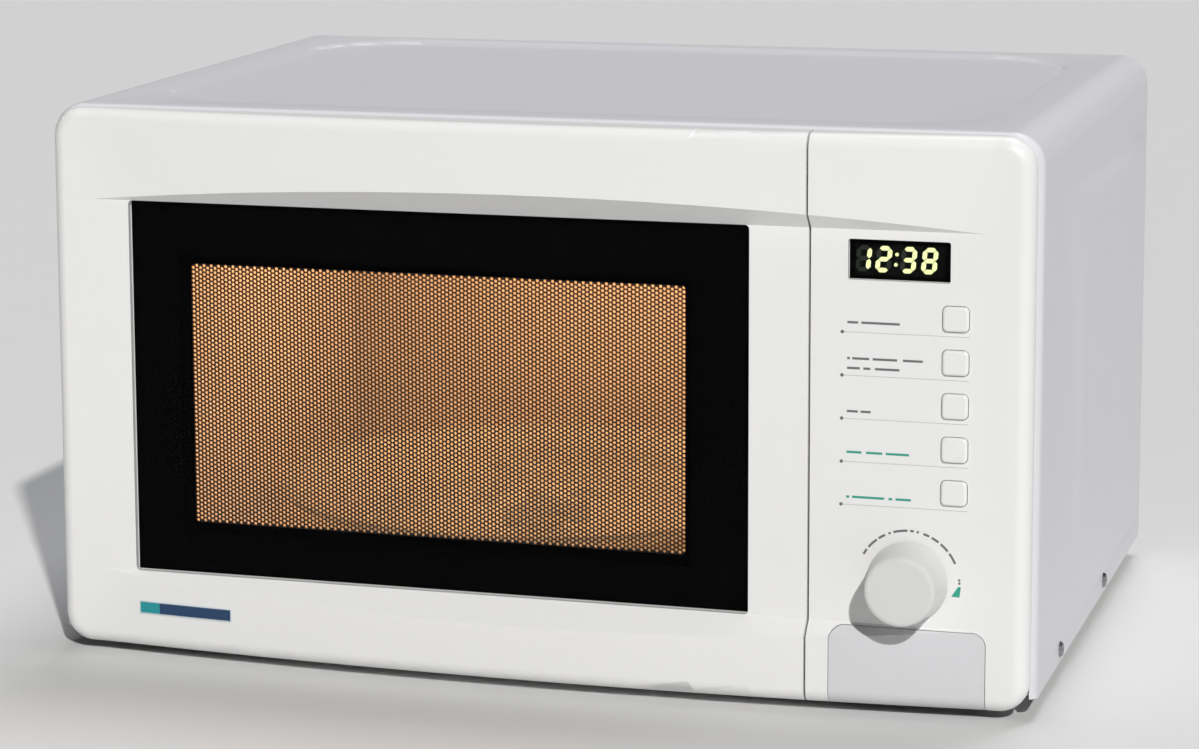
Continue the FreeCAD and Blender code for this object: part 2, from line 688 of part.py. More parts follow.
# ---- cooling fan ----
@part("fan_shroud")
def fan_shroud():
    x, z = FAN
    plate = box((108.5, 221), (150, 151.2), (z - 54, z + 54)).cut(rod(52, (x, 140, z), (x, 160, z)))
    plate = plate.cut(box((108, 115), (149, 152), (CAVITY_Z[1] - 0.5, CAVITY_Z[1] + SHEET + 0.5)))
    collar = tube(53.2, 52, (x, 136, z), (x, 151.2, z))
    bars = [box((x - 54, x + 54), (134.8, 136), (z + by - 3, z + by + 3)) for by in (-14, 14)]
    bars = [bar.cut(rod(9, (x, 130, z), (x, 140, z))) for bar in bars]
    return fuse([plate, collar] + bars)


@part("fan_motor")
def fan_motor():
    x, z = FAN
    stack = box((x - 30, x + 30), (116, 132), (z - 22, z + 22))
    boss = rod(8, (x, 112, z), (x, 134.8, z))
    bracket = box((x - 26, x + 26), (132, 134.8), (z - 18, z + 18))
    motor = fuse([stack, boss, bracket])
    return motor.cut(rod(2 + RUNNING, (x, 118, z), (x, 140, z)))


@part("fan_blade")
def fan_blade():
    x, z = FAN
    hub = rod(11, (x, 138, z), (x, 150, z))
    pieces = [hub]
    for number in range(5):
        blade = box((0, 47), (143.4, 144.6), (-13, 13))
        blade.rotate(Vector(0, 144, 0), Vector(1, 0, 0), 24)
        blade.rotate(Vector(0, 144, 0), Vector(0, 1, 0), 72 * number)
        blade.translate(Vector(x, 0, z))
        pieces.append(blade)
    rotor = fuse(pieces).common(rod(49, (x, 130, z), (x, 160, z)))
    shaft = rod(2, (x, 119, z), (x, 138, z))
    return fuse([rotor, shaft])


# ---- lamp ----
LAMP = (128.0, -58.0, 210.0)


@part("cavity_lamp")
def cavity_lamp():
    x, y, z = LAMP
    bulb = Part.makeSphere(10.5, Vector(x, y, z)).fuse(rod(7, (x, y, z), (x, y, z - 18)))
    return bulb.removeSplitter()


@part("lamp_holder")
def lamp_holder():
    x, y, z = LAMP
    socket = rod(9, (x, y, z - 40), (x, y, z - 18))
    bracket = box((CAVITY_X[1] + SHEET, x), (y - 12, y + 12), (z - 42, z - 40))
    foot = box((CAVITY_X[1] + SHEET, CAVITY_X[1] + SHEET + 1), (y - 12, y + 12), (z - 60, z - 40))
    return fuse([socket, bracket.fuse(foot)])


# ---- turntable ----
@part("turntable_motor")
def turntable_motor():
    x, y = SPINDLE
    can = rod(24.5, (x, y, FLOOR + 1), (x, y, CAVITY_Z[0] - SHEET - 1.4))
    ears = box((x - 34, x + 34), (y - 6, y + 6), (CAVITY_Z[0] - SHEET - 2.6, CAVITY_Z[0] - SHEET - 1.4))
    posts = [rod(3, (x + by, y, FLOOR), (x + by, y, CAVITY_Z[0] - SHEET)) for by in (-30, 30)]
    motor = fuse([can, ears] + posts)
    return motor.cut(rod(3.5 + RUNNING, (x, y, FLOOR + 4), (x, y, 60)))


@part("drive_coupler")
def drive_coupler():
    x, y = SPINDLE
    shaft = rod(3.5, (x, y, FLOOR + 5), (x, y, 45))
    pieces = [shaft, rod(10, (x, y, 43), (x, y, TRAY_Z - 0.2))]
    for number in range(3):
        lobe = box((0, 20), (-4, 4), (45, TRAY_Z - 0.2)).fuse(rod(4, (20, 0, 45), (20, 0, TRAY_Z - 0.2)))
        lobe.rotate(Vector(0, 0, 0), Vector(0, 0, 1), 120 * number)
        lobe.translate(Vector(x, y, 0))
        pieces.append(lobe)
    return fuse(pieces)


@part("glass_tray")
def glass_tray():
    x, y = SPINDLE
    profile = ((0, TRAY_Z), (106, TRAY_Z), (TRAY_R, TRAY_Z + 9), (TRAY_R, TRAY_Z + 12),
               (TRAY_R - 3, TRAY_Z + 12), (105, TRAY_Z + 4), (0, TRAY_Z + 4))
    plate = turned([(x + r, y, z) for r, z in profile], (x, y, 0), (0, 0, 1))
    lugs = []
    for number in range(3):
        lug = box((24, 34), (-5, 5), (TRAY_Z - 3, TRAY_Z))
        lug.rotate(Vector(0, 0, 0), Vector(0, 0, 1), 60 + 120 * number)
        lug.translate(Vector(x, y, 0))
        lugs.append(lug)
    return fuse([plate] + lugs)


def round_spindle(shape, degrees):
    """A shape built along +X from the spindle, turned about it."""
    shape.rotate(Vector(0, 0, 0), Vector(0, 0, 1), degrees)
    shape.translate(Vector(*SPINDLE, 0))
    return shape


@part("roller_ring")
def roller_ring():
    x, y = SPINDLE
    ring = tube(88, 82, (x, y, ROLLER_Z - 3), (x, y, ROLLER_Z + 3))
    studs = []
    for number in range(3):
        stud = rod(1.6, (86, 0, ROLLER_Z), (101.5, 0, ROLLER_Z))
        stud = stud.fuse(rod(2.4, (101, 0, ROLLER_Z), (102.5, 0, ROLLER_Z)))
        studs.append(round_spindle(stud, 120 * number))
    return fuse([ring] + studs)


def roller(number):
    """One wheel of the roller ring."""
    wheel = tube(ROLLER_R, 1.6 + RUNNING, (ROLLER_CENTRE - 4, 0, ROLLER_Z), (ROLLER_CENTRE + 4, 0, ROLLER_Z))
    return round_spindle(wheel, 120 * number)


for NUMBER in range(3):
    PARTS[f"roller_{NUMBER + 1}"] = lambda number=NUMBER: roller(number)


# ---- control panel ----
def button_z(number):
    """The height of a push button's middle, counted from the top one."""
    return BUTTON_TOP - BUTTON_PITCH * number


def button_slab(number, by, y, radius):
    """A block in the shape of a push button, grown by this much."""
    half_x, half_z = BUTTON_SIZE[0] / 2 + by, BUTTON_SIZE[1] / 2 + by
    z = button_z(number)
    return slab((BUTTON_X - half_x, BUTTON_X + half_x), (z - half_z, z + half_z), radius, y)


@part("control_panel")
def control_panel():
    shell = moulding((SEAM[1], MOULD_X))
    seat = slab(grow(DISPLAY_X, 3), grow(DISPLAY_Z, 1.5), 2, (FRONT + 2, FRONT + 3.4))
    posts = [post(2.5, x, z, FRONT + 12) for x in (141, 209) for z in (94, 219)]
    ribs = [rib((132, 135), (z, z + 12)) for z in (120, 225)]
    ribs += [rib((216, 219), (z, z + 12)) for z in (40, 120, 235)]
    shell = fuse([shell, seat] + posts + ribs)
    shell = shell.cut(slab(grow(DISPLAY_X, 0.1), grow(DISPLAY_Z, 0.1), 1.1, (FRONT - 1, FRONT + 2.1)))
    shell = shell.cut(slab(grow(DISPLAY_X, -2), grow(DISPLAY_Z, -1.5), 1, (FRONT, FRONT + 6)))
    for number in range(len(BUTTONS)):
        shell = shell.cut(button_slab(number, GAP, (FRONT - 1, FRONT + 4), 2.6))
    shell = shell.cut(rod(4, (KNOB[0], FRONT - 1, KNOB[1]), (KNOB[0], FRONT + 5, KNOB[1])))
    release = slab(grow(RELEASE_X, GAP), (-40, RELEASE_TOP + GAP), RELEASE_R + GAP, (FRONT - 30, FRONT + 12))
    return shell.cut(release)


@part("display_window")
def display_window():
    return slab(DISPLAY_X, DISPLAY_Z, 1, (FRONT, FRONT + 2))


@part("display_module")
def display_module():
    glass = box(grow(DISPLAY_X, -2.5), (FRONT + 3.6, FRONT + 7), grow(DISPLAY_Z, -1.2))
    base = box(grow(DISPLAY_X, -1), (FRONT + 7, FRONT + 12), DISPLAY_Z)
    return fuse([glass, base])


@part("control_board")
def control_board():
    y = (FRONT + 12, FRONT + 13.6)
    board = box((137, 213), y, (57, 222.5))
    pieces = [board]
    for number in range(len(BUTTONS)):
        z = button_z(number)
        pieces.append(box((BUTTON_X - 3, BUTTON_X + 3), (FRONT + 9.6, y[0]), (z - 3, z + 3)))
    pieces.append(box((144, 166), (y[1], FRONT + 21), (100, 118)))
    pieces.append(box((144, 166), (y[1], FRONT + 21), (124, 142)))
    pieces.append(box((142, 168), (y[1], FRONT + 18), (180, 210)))
    return fuse(pieces)


@part("knob_encoder")
def knob_encoder():
    x, z = KNOB
    can = box((x - 8, x + 8), (FRONT + 4, FRONT + 12), (z - 8, z + 8))
    collar = rod(3.9, (x, FRONT + 2.6, z), (x, FRONT + 4, z))
    return fuse([can, collar]).cut(rod(3 + RUNNING, (x, FRONT, z), (x, FRONT + 11, z)))


@part("encoder_shaft")
def encoder_shaft():
    x, z = KNOB
    return rod(3, (x, FRONT - 14, z), (x, FRONT + 10, z))


@part("knob")
def knob():
    x, z = KNOB
    profile = ((3, -14), (0, -14), (0, -20), (13.4, -20), (14.5, -19.7), (15.1, -19), (15.3, -18),
               (16.0, -9), (17.0, -2.4), (17.4, -1.2), (17.2, -0.6), (14.5, -0.6), (13.5, -16), (6, -16),
               (6, -2), (3, -2))
    return turned([(x + r, FRONT + y, z) for r, y in profile], (x, 0, z), (0, 1, 0))


def push_button(number):
    """A push button with a flange behind the panel and a stem to its switch."""
    cap = button_slab(number, 0, (FRONT - BUTTON_PROUD, FRONT + 4), 2.2)
    face = FRONT - BUTTON_PROUD
    rim = [edge for edge in cap.Edges if all(abs(end.Point.y - face) < 1e-6 for end in edge.Vertexes)]
    cap = cap.makeFillet(1.3, rim)
    flange = button_slab(number, 1.2, (FRONT + 2.9, FRONT + 4), 2.6)
    z = button_z(number)
    stem = rod(2, (BUTTON_X, FRONT + 4, z), (BUTTON_X, FRONT + 8.2, z))
    return fuse([cap, flange, stem])


for NUMBER, NAME in enumerate(BUTTONS):
    PARTS[NAME] = lambda number=NUMBER: push_button(number)


# ---- door release ----
@part("release_button")
def release_button():
    form = slab(RELEASE_X, (-40, RELEASE_TOP), RELEASE_R, (FRONT - 30, FRONT + 7))
    hollow = slab(grow(RELEASE_X, -1.8), (-40, RELEASE_TOP - 1.8), RELEASE_R - 1.8, (FRONT - 30, FRONT + 12))
    cap = OUTSIDE.common(form).cut(INSIDE.common(hollow))
    x, z = STEM
    stem = rod(4, (x, FRONT - 2, z), (x, LEVER[0] - 9, z))
    tip = Part.makeCone(4, 1.5, 4.2, Vector(x, LEVER[0] - 9, z), Vector(0, 1, 0))
    return fuse([cap, stem, tip])


@part("release_lever")
def release_lever():
    y, z = LEVER
    shaft = rod(3, (110, y, z), (182, y, z))
    paddle = box((STEM[0] - 7, STEM[0] + 7), (y - 4, y - 1), (z - 24, z))
    side = ((-3, 0), (9, -3), (16, 5), (16, 8.5), (9, 8.5), (-2, 2))
    arm = prism([(HOOK_X[0], y + by, z + up) for by, up in side], (HOOK_X[1] - HOOK_X[0], 0, 0))
    return fuse([shaft, paddle, arm])


@part("latch_bracket")
def latch_bracket():
    x = (122.4, 124.9)
    y = (PLATE + SHEET, -92.0)
    plate = box(x, y, (LEVER[1] - 7, 210))
    feet_z = ((80, 90), (200, 210))
    tabs = [box((x[1], x[1] + 10), (PLATE + SHEET, PLATE + SHEET + 2.5), z) for z in feet_z]
    ledge = box((HOOK_X[0] + 1, x[0]), (-122, -114), (HOOKS_Z[1] - 10, HOOKS_Z[1] - 3.6))
    ears = []
    for side in ((106.9, 109.4), (183, 185.5)):
        ear = box(side, (PLATE + SHEET, LEVER[0] + 6), (LEVER[1] - 7, LEVER[1] + 5))
        ears.append(ear.cut(rod(3 + RUNNING, (side[0] - 1, *LEVER), (side[1] + 1, *LEVER))))
    beam = box((106.9, 185.5), (PLATE + SHEET, PLATE + SHEET + 2.5), (LEVER[1] - 7, LEVER[1] - 3))
    bracket = fuse([plate, ledge, beam] + tabs + ears)
    return bracket.cut(rod(3 + RUNNING, (x[0] - 1, *LEVER), (x[1] + 1, *LEVER)))


@part("interlock_switches")
def interlock_switches():
    switches = []
    for z in (66, 112, 184):
        body = box((124.9, 135.2), (-122, -94), (z, z + 16))
        plunger = box((128, 132), (-112, -108), (z + 16, z + 17.4))
        blade = box((127.6, 132.4), (-121, -98), (z + 17.4, z + 17.9))
        switches.append(fuse([body, plunger, blade]))
    return Part.makeCompound(switches)


def main():
    os.makedirs("parts", exist_ok=True)
    for name, build in PARTS.items():
        shape = build()
        shape.translate(Vector(0, 0, -DATUM))
        if not shape.isValid():
            print("NOT VALID:", name)
        solids = shape.Solids
        if len(solids) == 1:
            shape = solids[0]
        shape.exportStep(f"parts/{name}.step")
        size = shape.BoundBox
        print(f"{name:22s} solids {len(solids)} volume {shape.Volume / 1000:9.2f} cm3 "
              f"x {size.XMin:.1f} {size.XMax:.1f} y {size.YMin:.1f} {size.YMax:.1f} "
              f"z {size.ZMin:.1f} {size.ZMax:.1f}")


main()
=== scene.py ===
"""The looks of a countertop microwave oven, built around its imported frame."""

import json
import math

import bpy
from mathutils import Matrix, Vector


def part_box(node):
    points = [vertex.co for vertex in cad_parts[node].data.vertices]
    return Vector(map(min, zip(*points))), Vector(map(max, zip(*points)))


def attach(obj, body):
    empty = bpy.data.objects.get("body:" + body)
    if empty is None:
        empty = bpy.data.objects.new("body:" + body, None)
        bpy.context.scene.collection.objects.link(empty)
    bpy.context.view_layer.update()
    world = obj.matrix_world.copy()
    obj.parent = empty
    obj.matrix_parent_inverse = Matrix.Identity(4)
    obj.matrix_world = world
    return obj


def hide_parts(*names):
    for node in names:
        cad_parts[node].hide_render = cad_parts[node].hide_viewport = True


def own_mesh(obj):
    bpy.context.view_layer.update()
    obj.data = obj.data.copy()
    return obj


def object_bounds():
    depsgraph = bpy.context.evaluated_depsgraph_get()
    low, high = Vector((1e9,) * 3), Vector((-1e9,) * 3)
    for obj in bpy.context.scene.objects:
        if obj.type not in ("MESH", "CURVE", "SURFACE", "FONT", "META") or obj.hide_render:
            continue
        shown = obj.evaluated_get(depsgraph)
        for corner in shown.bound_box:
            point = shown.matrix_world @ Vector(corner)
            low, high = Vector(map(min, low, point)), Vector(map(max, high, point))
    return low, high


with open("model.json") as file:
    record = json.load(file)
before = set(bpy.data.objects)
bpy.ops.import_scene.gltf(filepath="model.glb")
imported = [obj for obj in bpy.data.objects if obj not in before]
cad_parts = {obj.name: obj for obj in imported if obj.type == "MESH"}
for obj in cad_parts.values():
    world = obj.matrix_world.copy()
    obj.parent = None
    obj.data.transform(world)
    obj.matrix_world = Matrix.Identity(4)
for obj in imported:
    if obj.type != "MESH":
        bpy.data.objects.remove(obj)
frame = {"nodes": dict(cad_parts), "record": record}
cad_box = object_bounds()
NODES = frame["nodes"]
SCENE = bpy.context.scene
MM = 0.001


def extent(node):
    """A CAD node's (low, high) pairs in millimetres, one for each axis."""
    low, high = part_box(node)
    return [(low[axis] / MM, high[axis] / MM) for axis in range(3)]


GLASS = extent("door_glass")
DISPLAY = extent("display_window")
KNOB = extent("knob")
DOOR = extent("door_moulding")
FRONT = GLASS[1][0]         # flat plane of door and control panel
BOW_SPAN = 203.0            # half width of the arc that the upper and lower bands follow
BOW_RISE = 10.5             # how far that arc stands out in the middle
EDGE_ROUND = 6.5            # rounding of the front's upper and lower edges

# ---- camera, lights, floor ----
CAMERA_PLACE = (0.4702, -1.6628, 0.4504)
CAMERA_YAW = 0.3132         # turned towards the left of straight back
CAMERA_PITCH = 0.1606       # tipped down
CAMERA_ROLL = -0.0084
CAMERA_LENS = 110.9         # on a 36 mm wide sensor
CAMERA_SHIFT = (0.1, -0.1)
KEY_DIRECTION = (0.55, -1.0, 0.81)
OVERHEAD_DIRECTION = (0.1, 0.4, 1.0)
LIGHT_DISTANCE = 3
FLOOR_HALF = 25


def make_camera():
    """The camera, from its place and its three angles."""
    data = bpy.data.cameras.new("camera")
    data.lens = CAMERA_LENS
    data.sensor_width = 36
    data.shift_x, data.shift_y = CAMERA_SHIFT
    data.clip_start, data.clip_end = 0.05, 100
    camera = bpy.data.objects.new("camera", data)
    SCENE.collection.objects.link(camera)
    ahead = Vector((-math.sin(CAMERA_YAW) * math.cos(CAMERA_PITCH),
                    math.cos(CAMERA_YAW) * math.cos(CAMERA_PITCH), -math.sin(CAMERA_PITCH)))
    right = Vector((math.cos(CAMERA_YAW), math.sin(CAMERA_YAW), 0))
    up = right.cross(ahead)
    turn = Matrix.Rotation(-CAMERA_ROLL, 3, ahead)
    axes = Matrix((turn @ right, turn @ up, -ahead)).transposed()
    camera.matrix_world = Matrix.Translation(CAMERA_PLACE) @ axes.to_4x4()
    SCENE.camera = camera


def make_light(name, kind, energy, place, aim, colour=(1, 1, 1), **settings):
    """A light at place that shines towards aim."""
    data = bpy.data.lights.new(name, kind)
    data.energy = energy
    data.color = colour
    for key, value in settings.items():
        setattr(data, key, value)
    light = bpy.data.objects.new(name, data)
    SCENE.collection.objects.link(light)
    light.location = place
    light.rotation_euler = (Vector(aim) - Vector(place)).to_track_quat("-Z", "Y").to_euler()


def make_stage():
    """World, two suns, the light in the oven cavity and the floor."""
    world = bpy.data.worlds.new("studio")
    SCENE.world = world
    world.use_nodes = True
    SCENE.view_settings.view_transform = "Standard"
    backdrop = world.node_tree.nodes["Background"]
    backdrop.inputs["Color"].default_value = (0.95, 0.97, 1.0, 1)
    backdrop.inputs["Strength"].default_value = 0.06
    centre = (cad_box[0] + cad_box[1]) / 2
    key = centre + Vector(KEY_DIRECTION).normalized() * LIGHT_DISTANCE
    make_light("key", "SUN", 2.55, key, centre, (1.0, 0.99, 0.97), angle=math.radians(1.5))
    over = centre + Vector(OVERHEAD_DIRECTION).normalized() * LIGHT_DISTANCE
    make_light("overhead", "SUN", 1.25, over, centre, (0.97, 0.98, 1.0), angle=math.radians(25))
    cavity = [sum(pair) / 2 * MM for pair in extent("cavity_wrap")]
    lamp = (cavity[0], cavity[1], cavity[2] + 0.05)
    make_light("cavity", "POINT", 1.0, lamp, cavity, (1.0, 0.47, 0.19), shadow_soft_size=0.03)
    mesh = bpy.data.meshes.new("floor")
    corners = [(sx * FLOOR_HALF, sy * FLOOR_HALF, 0) for sx, sy in ((-1, -1), (1, -1), (1, 1), (-1, 1))]
    mesh.from_pydata(corners, [], [(0, 1, 2, 3)])
    floor = bpy.data.objects.new("floor", mesh)
    SCENE.collection.objects.link(floor)
    mesh.materials.append(surface("floor_paint", (0.74, 0.74, 0.74), 0.9, size=40, bump=0, shade=0.01))


# ---- materials ----
PATTERNS = {"grain": "ShaderNodeTexNoise", "cells": "ShaderNodeTexVoronoi", "bands": "ShaderNodeTexWave"}
BADGE_TEAL = 0.22           # share of the badge's length
BADGE_EDGE = 0.45           # width of the pale line round it


def surface(name, colour, roughness, metallic=0.0, pattern="grain", size=0.5, bump=0.01, shade=0.03,
            stretch=(1, 1, 1), glow=0.0, **sockets):
    """A finish with one Principled shader and a fine pattern in its colour, roughness and relief.

    The pattern's size and its relief are in millimetres, and stretch draws the pattern out along an axis.
    """
    made = bpy.data.materials.new(name)
    made.use_nodes = True
    nodes, links = made.node_tree.nodes, made.node_tree.links
    shader = nodes["Principled BSDF"]
    shader.inputs["Base Color"].default_value = (*colour, 1)
    shader.inputs["Roughness"].default_value = roughness
    shader.inputs["Metallic"].default_value = metallic
    for socket, value in sockets.items():
        shader.inputs[socket.replace("_", " ")].default_value = value
    if glow:
        shader.inputs["Emission Color"].default_value = (*colour, 1)
        shader.inputs["Emission Strength"].default_value = glow
    coords = nodes.new("ShaderNodeTexCoord")
    mapping = nodes.new("ShaderNodeMapping")
    mapping.inputs["Scale"].default_value = [1 / (size * MM * along) for along in stretch]
    links.new(coords.outputs["Object"], mapping.inputs["Vector"])
    texture = nodes.new(PATTERNS[pattern])
    texture.inputs["Scale"].default_value = 1.0
    if pattern == "bands":
        texture.bands_direction = "Z"
        texture.inputs["Distortion"].default_value = 0.3
    links.new(mapping.outputs["Vector"], texture.inputs["Vector"])
    level = texture.outputs["Distance" if pattern == "cells" else "Fac"]
    tint = nodes.new("ShaderNodeMix")
    tint.data_type = "RGBA"
    for socket, by in ((6, 1 - shade), (7, 1 + shade)):
        tint.inputs[socket].default_value = (*[min(1, part * by) for part in colour], 1)
    links.new(level, tint.inputs[0])
    links.new(tint.outputs[2], shader.inputs["Base Color"])
    spread = nodes.new("ShaderNodeMapRange")
    spread.inputs["To Min"].default_value = max(0.02, roughness - 0.05)
    spread.inputs["To Max"].default_value = min(1, roughness + 0.05)
    links.new(level, spread.inputs["Value"])
    links.new(spread.outputs["Result"], shader.inputs["Roughness"])
    if bump:
        relief = nodes.new("ShaderNodeBump")
        relief.inputs["Strength"].default_value = 1.0
        relief.inputs["Distance"].default_value = bump * MM
        links.new(level, relief.inputs["Height"])
        links.new(relief.outputs["Normal"], shader.inputs["Normal"])
    return made


def badge_surface():
    """Teal at the left end, navy over the rest, with a thin pale line round the edge."""
    made = surface("badge", (0.012, 0.05, 0.13), 0.3, size=0.4, bump=0.004)
    nodes, links = made.node_tree.nodes, made.node_tree.links
    (left, right), _, (low, high) = extent("badge_plate")
    coords = nodes.new("ShaderNodeTexCoord")
    split = nodes.new("ShaderNodeSeparateXYZ")
    links.new(coords.outputs["Object"], split.inputs["Vector"])

    def beyond(axis, value, kind="GREATER_THAN"):
        test = nodes.new("ShaderNodeMath")
        test.operation = kind
        test.inputs[1].default_value = value * MM
        links.new(split.outputs[axis], test.inputs[0])
        return test.outputs[0]

    def blend(factor, under, over):
        mix = nodes.new("ShaderNodeMix")
        mix.data_type = "RGBA"
        links.new(factor, mix.inputs[0])
        mix.inputs[7].default_value = (*over, 1)
        links.new(under, mix.inputs[6])
        return mix.outputs[2]

    shader = nodes["Principled BSDF"]
    colour = shader.inputs["Base Color"].links[0].from_socket
    colour = blend(beyond("X", left + (right - left) * BADGE_TEAL, "LESS_THAN"), colour, (0.01, 0.3, 0.33))
    for axis, start, end in (("X", left, right), ("Z", low, high)):
        colour = blend(beyond(axis, start + BADGE_EDGE, "LESS_THAN"), colour, (0.62, 0.7, 0.74))
        colour = blend(beyond(axis, end - BADGE_EDGE), colour, (0.62, 0.7, 0.74))
    links.new(colour, shader.inputs["Base Color"])
    return made


ZINC = dict(metallic=1.0, pattern="cells", size=5, bump=0.004, shade=0.12)
FINISHES = {
    "white_moulding": surface("white_moulding", (0.87, 0.87, 0.865), 0.36, size=0.35, bump=0.004,
                              shade=0.008),
    "white_knob": surface("white_knob", (0.72, 0.72, 0.72), 0.34, size=0.35, bump=0.003, shade=0.008),
    "white_keys": surface("white_keys", (0.87, 0.87, 0.87), 0.28, size=0.35, bump=0.003, shade=0.008),
    "grey_key": surface("grey_key", (0.69, 0.69, 0.715), 0.34, size=0.35, bump=0.004, shade=0.01),
    "badge": badge_surface(),
    "door_glass": surface("door_glass", (0.002, 0.002, 0.003), 0.06, size=30, bump=0, shade=0.3, Alpha=0.08,
                          Specular_IOR_Level=0.12),
    "display_glass": surface("display_glass", (0.002, 0.003, 0.002), 0.08, size=30, bump=0, shade=0.3,
                             Alpha=0.1, Specular_IOR_Level=0.12),
    "clear_film": surface("clear_film", (0.9, 0.88, 0.84), 0.15, size=20, bump=0.01, shade=0.03, Alpha=0.1),
    "cabinet_paint": surface("cabinet_paint", (0.75, 0.745, 0.78), 0.42, size=0.6, bump=0.012, shade=0.025),
    "cavity_paint": surface("cavity_paint", (0.78, 0.76, 0.71), 0.45, size=1.2, bump=0.02, shade=0.04),
    "door_frame_paint": surface("door_frame_paint", (0.72, 0.71, 0.69), 0.42, size=1.0, bump=0.015,
                                shade=0.03),
    "screen_paint": surface("screen_paint", (0.012, 0.011, 0.010), 0.6, size=0.3, bump=0.01, shade=0.2),
    "choke_plastic": surface("choke_plastic", (0.055, 0.055, 0.058), 0.55, size=0.3, bump=0.02, shade=0.12),
    "zinc_steel": surface("zinc_steel", (0.60, 0.61, 0.62), 0.36, **ZINC),
    "screw_steel": surface("screw_steel", (0.33, 0.33, 0.34), 0.35, 1.0, size=0.3, bump=0.006, shade=0.15),
    "spring_steel": surface("spring_steel", (0.58, 0.58, 0.6), 0.25, 1.0, size=0.2, bump=0.002, shade=0.08),
    "shaft_steel": surface("shaft_steel", (0.6, 0.6, 0.62), 0.28, 1.0, size=0.12, bump=0.003, shade=0.1,
                           stretch=(8, 0.6, 8)),
    "latch_plastic": surface("latch_plastic", (0.78, 0.76, 0.69), 0.45, size=0.5, bump=0.008, shade=0.03),
    "switch_plastic": surface("switch_plastic", (0.03, 0.03, 0.032), 0.45, size=0.3, bump=0.01, shade=0.15),
    "foot_rubber": surface("foot_rubber", (0.02, 0.02, 0.02), 0.85, size=0.5, bump=0.03, shade=0.2),
    "black_plastic": surface("black_plastic", (0.022, 0.022, 0.023), 0.5, size=0.35, bump=0.015, shade=0.15),
    "mica": surface("mica", (0.56, 0.49, 0.35), 0.4, pattern="cells", size=3.5, bump=0.01, shade=0.16),
    "magnetron_metal": surface("magnetron_metal", (0.66, 0.66, 0.67), 0.34, 1.0, size=0.3, bump=0.004,
                               shade=0.1, stretch=(1, 12, 1)),
    "cutout_body": surface("cutout_body", (0.03, 0.027, 0.026), 0.5, size=0.4, bump=0.01, shade=0.15),
    "core_iron": surface("core_iron", (0.12, 0.105, 0.095), 0.55, 0.6, pattern="bands", size=0.32, bump=0.05,
                         shade=0.3),
    "winding_copper": surface("winding_copper", (0.50, 0.17, 0.06), 0.3, 0.9, pattern="bands", size=0.28,
                              bump=0.12, shade=0.3),
    "capacitor_can": surface("capacitor_can", (0.62, 0.62, 0.63), 0.3, 1.0, size=0.4, bump=0.004, shade=0.08,
                             stretch=(1, 10, 1)),
    "diode_body": surface("diode_body", (0.02, 0.02, 0.02), 0.35, size=0.3, bump=0.006, shade=0.15),
    "circuit_board": surface("circuit_board", (0.045, 0.15, 0.05), 0.4, size=1.5, bump=0.02, shade=0.25),
    "motor_steel": surface("motor_steel", (0.42, 0.42, 0.43), 0.42, 1.0, pattern="cells", size=4, bump=0.006,
                           shade=0.12),
    "lamp_glass": surface("lamp_glass", (1.0, 0.80, 0.5), 0.1, size=8, bump=0, shade=0.05, glow=1.5,
                          Alpha=0.6),
    "tray_glass": surface("tray_glass", (0.80, 0.87, 0.86), 0.06, size=25, bump=0.02, shade=0.03, Alpha=0.35),
    "roller_plastic": surface("roller_plastic", (0.72, 0.71, 0.66), 0.48, size=0.5, bump=0.01, shade=0.03),
    "display_body": surface("display_body", (0.003, 0.0035, 0.003), 0.5, size=0.3, bump=0.004, shade=0.2,
                            Specular_IOR_Level=0.1),
    "encoder_body": surface("encoder_body", (0.05, 0.14, 0.18), 0.42, size=0.4, bump=0.01, shade=0.08),
}
PRINT_GREY = surface("print_grey", (0.16, 0.16, 0.17), 0.5, size=0.3, bump=0.003, shade=0.15)
PRINT_LINE = surface("print_line", (0.56, 0.56, 0.57), 0.5, size=0.3, bump=0.003, shade=0.05)
PRINT_GREEN = surface("print_green", (0.03, 0.36, 0.26), 0.5, size=0.3, bump=0.003, shade=0.1)
PRINT_BLACK = surface("print_black", (0.001, 0.001, 0.0012), 0.7, size=0.5, bump=0.002, shade=0.2,
                      Specular_IOR_Level=0.03)
DIGIT_LIT = surface("digit_lit", (0.72, 0.80, 0.36), 0.6, size=0.6, bump=0, shade=0.08, glow=1.15)
DIGIT_DARK = surface("digit_dark", (0.02, 0.026, 0.018), 0.5, size=0.3, bump=0, shade=0.15)
# painted shade: a near-black that stands for the shade down in the screws' cross recesses
RECESS_SHADE = surface("painted_recess_shade", (0.012, 0.012, 0.013), 0.6, size=0.2, bump=0.004, shade=0.2)
RELAY = surface("relay", (0.025, 0.025, 0.03), 0.42, size=0.3, bump=0.008, shade=0.12)
FILM_YELLOW = surface("film_yellow", (0.65, 0.45, 0.05), 0.35, size=0.6, bump=0.006, shade=0.06)


def paint_nodes():
    """Gives every CAD node its slot's finish."""
    for entry in frame["record"]["subparts"]:
        mesh = NODES[entry["node"]].data
        mesh.materials.clear()
        mesh.materials.append(FINISHES[entry["material_slot"]])


# ---- shading normals and painted faces ----
ON_ROUND = 0.03             # how near the rounding's surface a corner has to be
SAME_SIDE = 0.4             # smallest cosine to the rounding for a face that belongs to it
SAME_CURVE = 0.88           # smallest cosine between faces that are shaded as one curve


def edge_normal(x, y, z):
    """The way out from the rounded upper or lower edge of the bowed front, or nothing away from it."""
    reach = (BOW_SPAN ** 2 + BOW_RISE ** 2) / (2 * BOW_RISE)
    y -= FRONT - BOW_RISE + reach
    low, high = DOOR[2]
    up = max(z - high + EDGE_ROUND, 0) or min(z - low - EDGE_ROUND, 0)
    out = math.hypot(x, y) - reach + EDGE_ROUND
    if not up or abs(math.hypot(out, up) - EDGE_ROUND) > ON_ROUND or out < -.01:
        return Vector()
    return Vector((x * out, y * out, up * math.hypot(x, y))).normalized()


